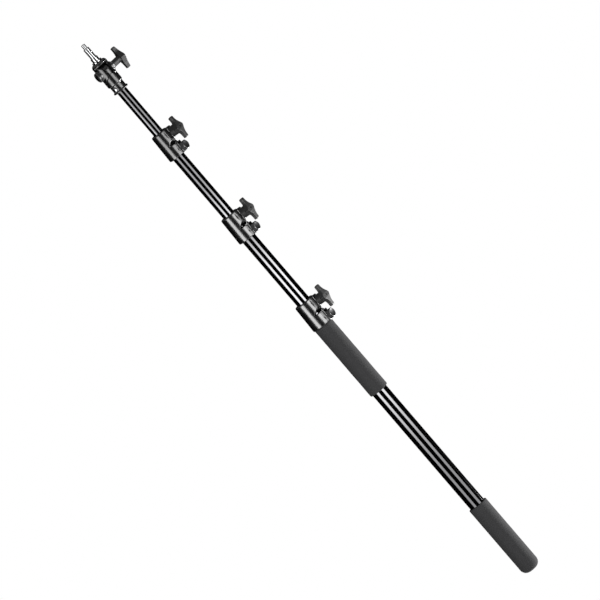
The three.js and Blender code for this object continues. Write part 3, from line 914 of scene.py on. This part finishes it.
CAMERA = {
    "azimuth": -54, "tilt": 8, "roll": 40.67, "aim": 0.5218, "across": -0.0019, "distance": 20.0,
    "lens": 829.1, "sensor": 36, "clip": 50,
}
STRIP = {"angle": 42, "distance": 1.2, "width": 0.71, "bottom": -0.4, "top": 1.2, "radiance": 10.0}
# brightness of the strips up their length: (height in metres, level)
STRIP_LEVELS = [
    (-0.4, 0.28), (-0.05, 0.28), (0.12, 0.40), (0.33, 1.0),
    (0.55, 1.1), (0.66, 0.85), (0.76, 0.34), (1.2, 0.32),
]
SIDE_LIGHT = {
    "azimuth": 54, "distance": 1.6, "height": -0.52, "aim": 0.5, "width": 0.46, "radiance": 140.0,
}
# brightness of the surroundings in reflections: (share of the way up, level)
DOME_LEVELS = [(0.0, 1.0), (0.2, 0.6), (0.28, 0.01), (0.68, 0.01), (0.78, 0.6), (1.0, 1.0)]
DOME_STRENGTH = 0.5
FLOOR = {"radius": 0.9, "height": -0.9}


def direction(azimuth, elevation=0):
    a, e = math.radians(azimuth), math.radians(elevation)
    return Vector((math.cos(a) * math.cos(e), math.sin(a) * math.cos(e), math.sin(e)))


def add_camera():
    """A camera that looks at the pole from its side, a little towards the tip, and rolled."""
    back = direction(CAMERA["azimuth"], CAMERA["tilt"])
    up = (Vector((0, 0, 1)) - back * back.z).normalized()
    across = up.cross(back)
    roll = math.radians(CAMERA["roll"])
    right = across * math.cos(roll) - up * math.sin(roll)
    top = across * math.sin(roll) + up * math.cos(roll)
    place_at = Vector((0, 0, CAMERA["aim"])) + across * CAMERA["across"] + back * CAMERA["distance"]
    data = bpy.data.cameras.new("camera")
    data.sensor_width = CAMERA["sensor"]
    data.lens = CAMERA["lens"]
    data.clip_end = CAMERA["clip"]
    camera = link("camera", data)
    camera.matrix_world = Matrix.Translation(place_at) @ Matrix((right, top, back)).transposed().to_4x4()
    bpy.context.scene.camera = camera


def set_levels(ramp, levels):
    """Gives a colour ramp its stops, as (position, grey level) pairs."""
    stops = ramp.color_ramp.elements
    while len(stops) < len(levels):
        stops.new(0.5)
    for stop, (position, level) in zip(stops, levels):
        stop.position = position
        stop.color = (level, level, level, 1)


def add_strip(side):
    """A tall soft strip light beside the camera, brightest over the middle of the pole."""
    height = STRIP["top"] - STRIP["bottom"]
    data = bpy.data.lights.new("strip", "AREA")
    data.shape = "RECTANGLE"
    data.size, data.size_y = STRIP["width"], height
    data.energy = STRIP["radiance"] * math.pi * STRIP["width"] * height
    data.use_nodes = True
    nodes, links = data.node_tree.nodes, data.node_tree.links
    split = nodes.new("ShaderNodeSeparateXYZ")
    along = nodes.new("ShaderNodeMapRange")
    ramp = nodes.new("ShaderNodeValToRGB")
    links.new(nodes.new("ShaderNodeNewGeometry").outputs["Position"], split.inputs[0])
    along.inputs["From Min"].default_value = STRIP["bottom"]
    along.inputs["From Max"].default_value = STRIP["top"]
    links.new(split.outputs["Z"], along.inputs["Value"])
    links.new(along.outputs["Result"], ramp.inputs["Fac"])
    ramp.color_ramp.interpolation = "B_SPLINE"
    set_levels(ramp, [((z - STRIP["bottom"]) / height, level) for z, level in STRIP_LEVELS])
    links.new(ramp.outputs["Color"], nodes["Emission"].inputs["Strength"])
    strip = link("strip", data)
    away = direction(CAMERA["azimuth"] + side * STRIP["angle"])
    strip.location = away * STRIP["distance"] + Vector((0, 0, (STRIP["top"] + STRIP["bottom"]) / 2))
    strip.rotation_euler = away.to_track_quat("Z", "Y").to_euler()
    strip.visible_camera = False


def add_side_light():
    """A soft light low on the knobs' side, where the upright tubes don't mirror it."""
    data = bpy.data.lights.new("side", "AREA")
    data.size = SIDE_LIGHT["width"]
    data.energy = SIDE_LIGHT["radiance"] * math.pi * SIDE_LIGHT["width"] ** 2
    light = link("side", data)
    light.location = direction(SIDE_LIGHT["azimuth"]) * SIDE_LIGHT["distance"]
    light.location.z += SIDE_LIGHT["height"]
    away = light.location - Vector((0, 0, SIDE_LIGHT["aim"]))
    light.rotation_euler = away.to_track_quat("Z", "Y").to_euler()
    light.visible_camera = False


def add_world():
    """A white background. Reflections see it bright above and below, and dark at the horizon."""
    world = bpy.data.worlds.new("studio")
    bpy.context.scene.world = world
    world.use_nodes = True
    nodes, links = world.node_tree.nodes, world.node_tree.links
    split = nodes.new("ShaderNodeSeparateXYZ")
    links.new(nodes.new("ShaderNodeTexCoord").outputs["Generated"], split.inputs[0])
    ramp = nodes.new("ShaderNodeValToRGB")
    height = nodes.new("ShaderNodeMapRange")
    height.inputs["From Min"].default_value = -1
    links.new(split.outputs["Z"], height.inputs["Value"])
    links.new(height.outputs["Result"], ramp.inputs["Fac"])
    set_levels(ramp, DOME_LEVELS)
    dome = nodes["Background"]
    dome.inputs["Strength"].default_value = DOME_STRENGTH
    links.new(ramp.outputs["Color"], dome.inputs["Color"])
    white = nodes.new("ShaderNodeBackground")
    mix = nodes.new("ShaderNodeMixShader")
    white.inputs["Color"].default_value = (1, 1, 1, 1)
    links.new(nodes.new("ShaderNodeLightPath").outputs["Is Camera Ray"], mix.inputs["Fac"])
    links.new(dome.outputs[0], mix.inputs[1])
    links.new(white.outputs[0], mix.inputs[2])
    links.new(mix.outputs[0], nodes["World Output"].inputs["Surface"])


def add_floor():
    shape = bmesh.new()
    bmesh.ops.create_circle(shape, cap_ends=True, radius=FLOOR["radius"], segments=SIDES["large"])
    floor = from_bmesh("floor", shape)
    floor.location.z = FLOOR["height"]
    finish = Finish("pale_floor", IOR=1.3, Emission_Color=(1, 1, 1, 1), Emission_Strength=0.5)
    tone = finish.noise(4, 3)
    finish.colour(finish.blended(tone, (0.90, 0.90, 0.90), (0.93, 0.93, 0.93)))
    finish.roughness(tone, 0.8, 0.95)
    floor.data.materials.append(finish.material)


build()
finish_cad_nodes()
add_camera()
add_world()
add_floor()
for side in (-1, 1):
    add_strip(side)
add_side_light()
bpy.context.scene.view_settings.view_transform = "Standard"
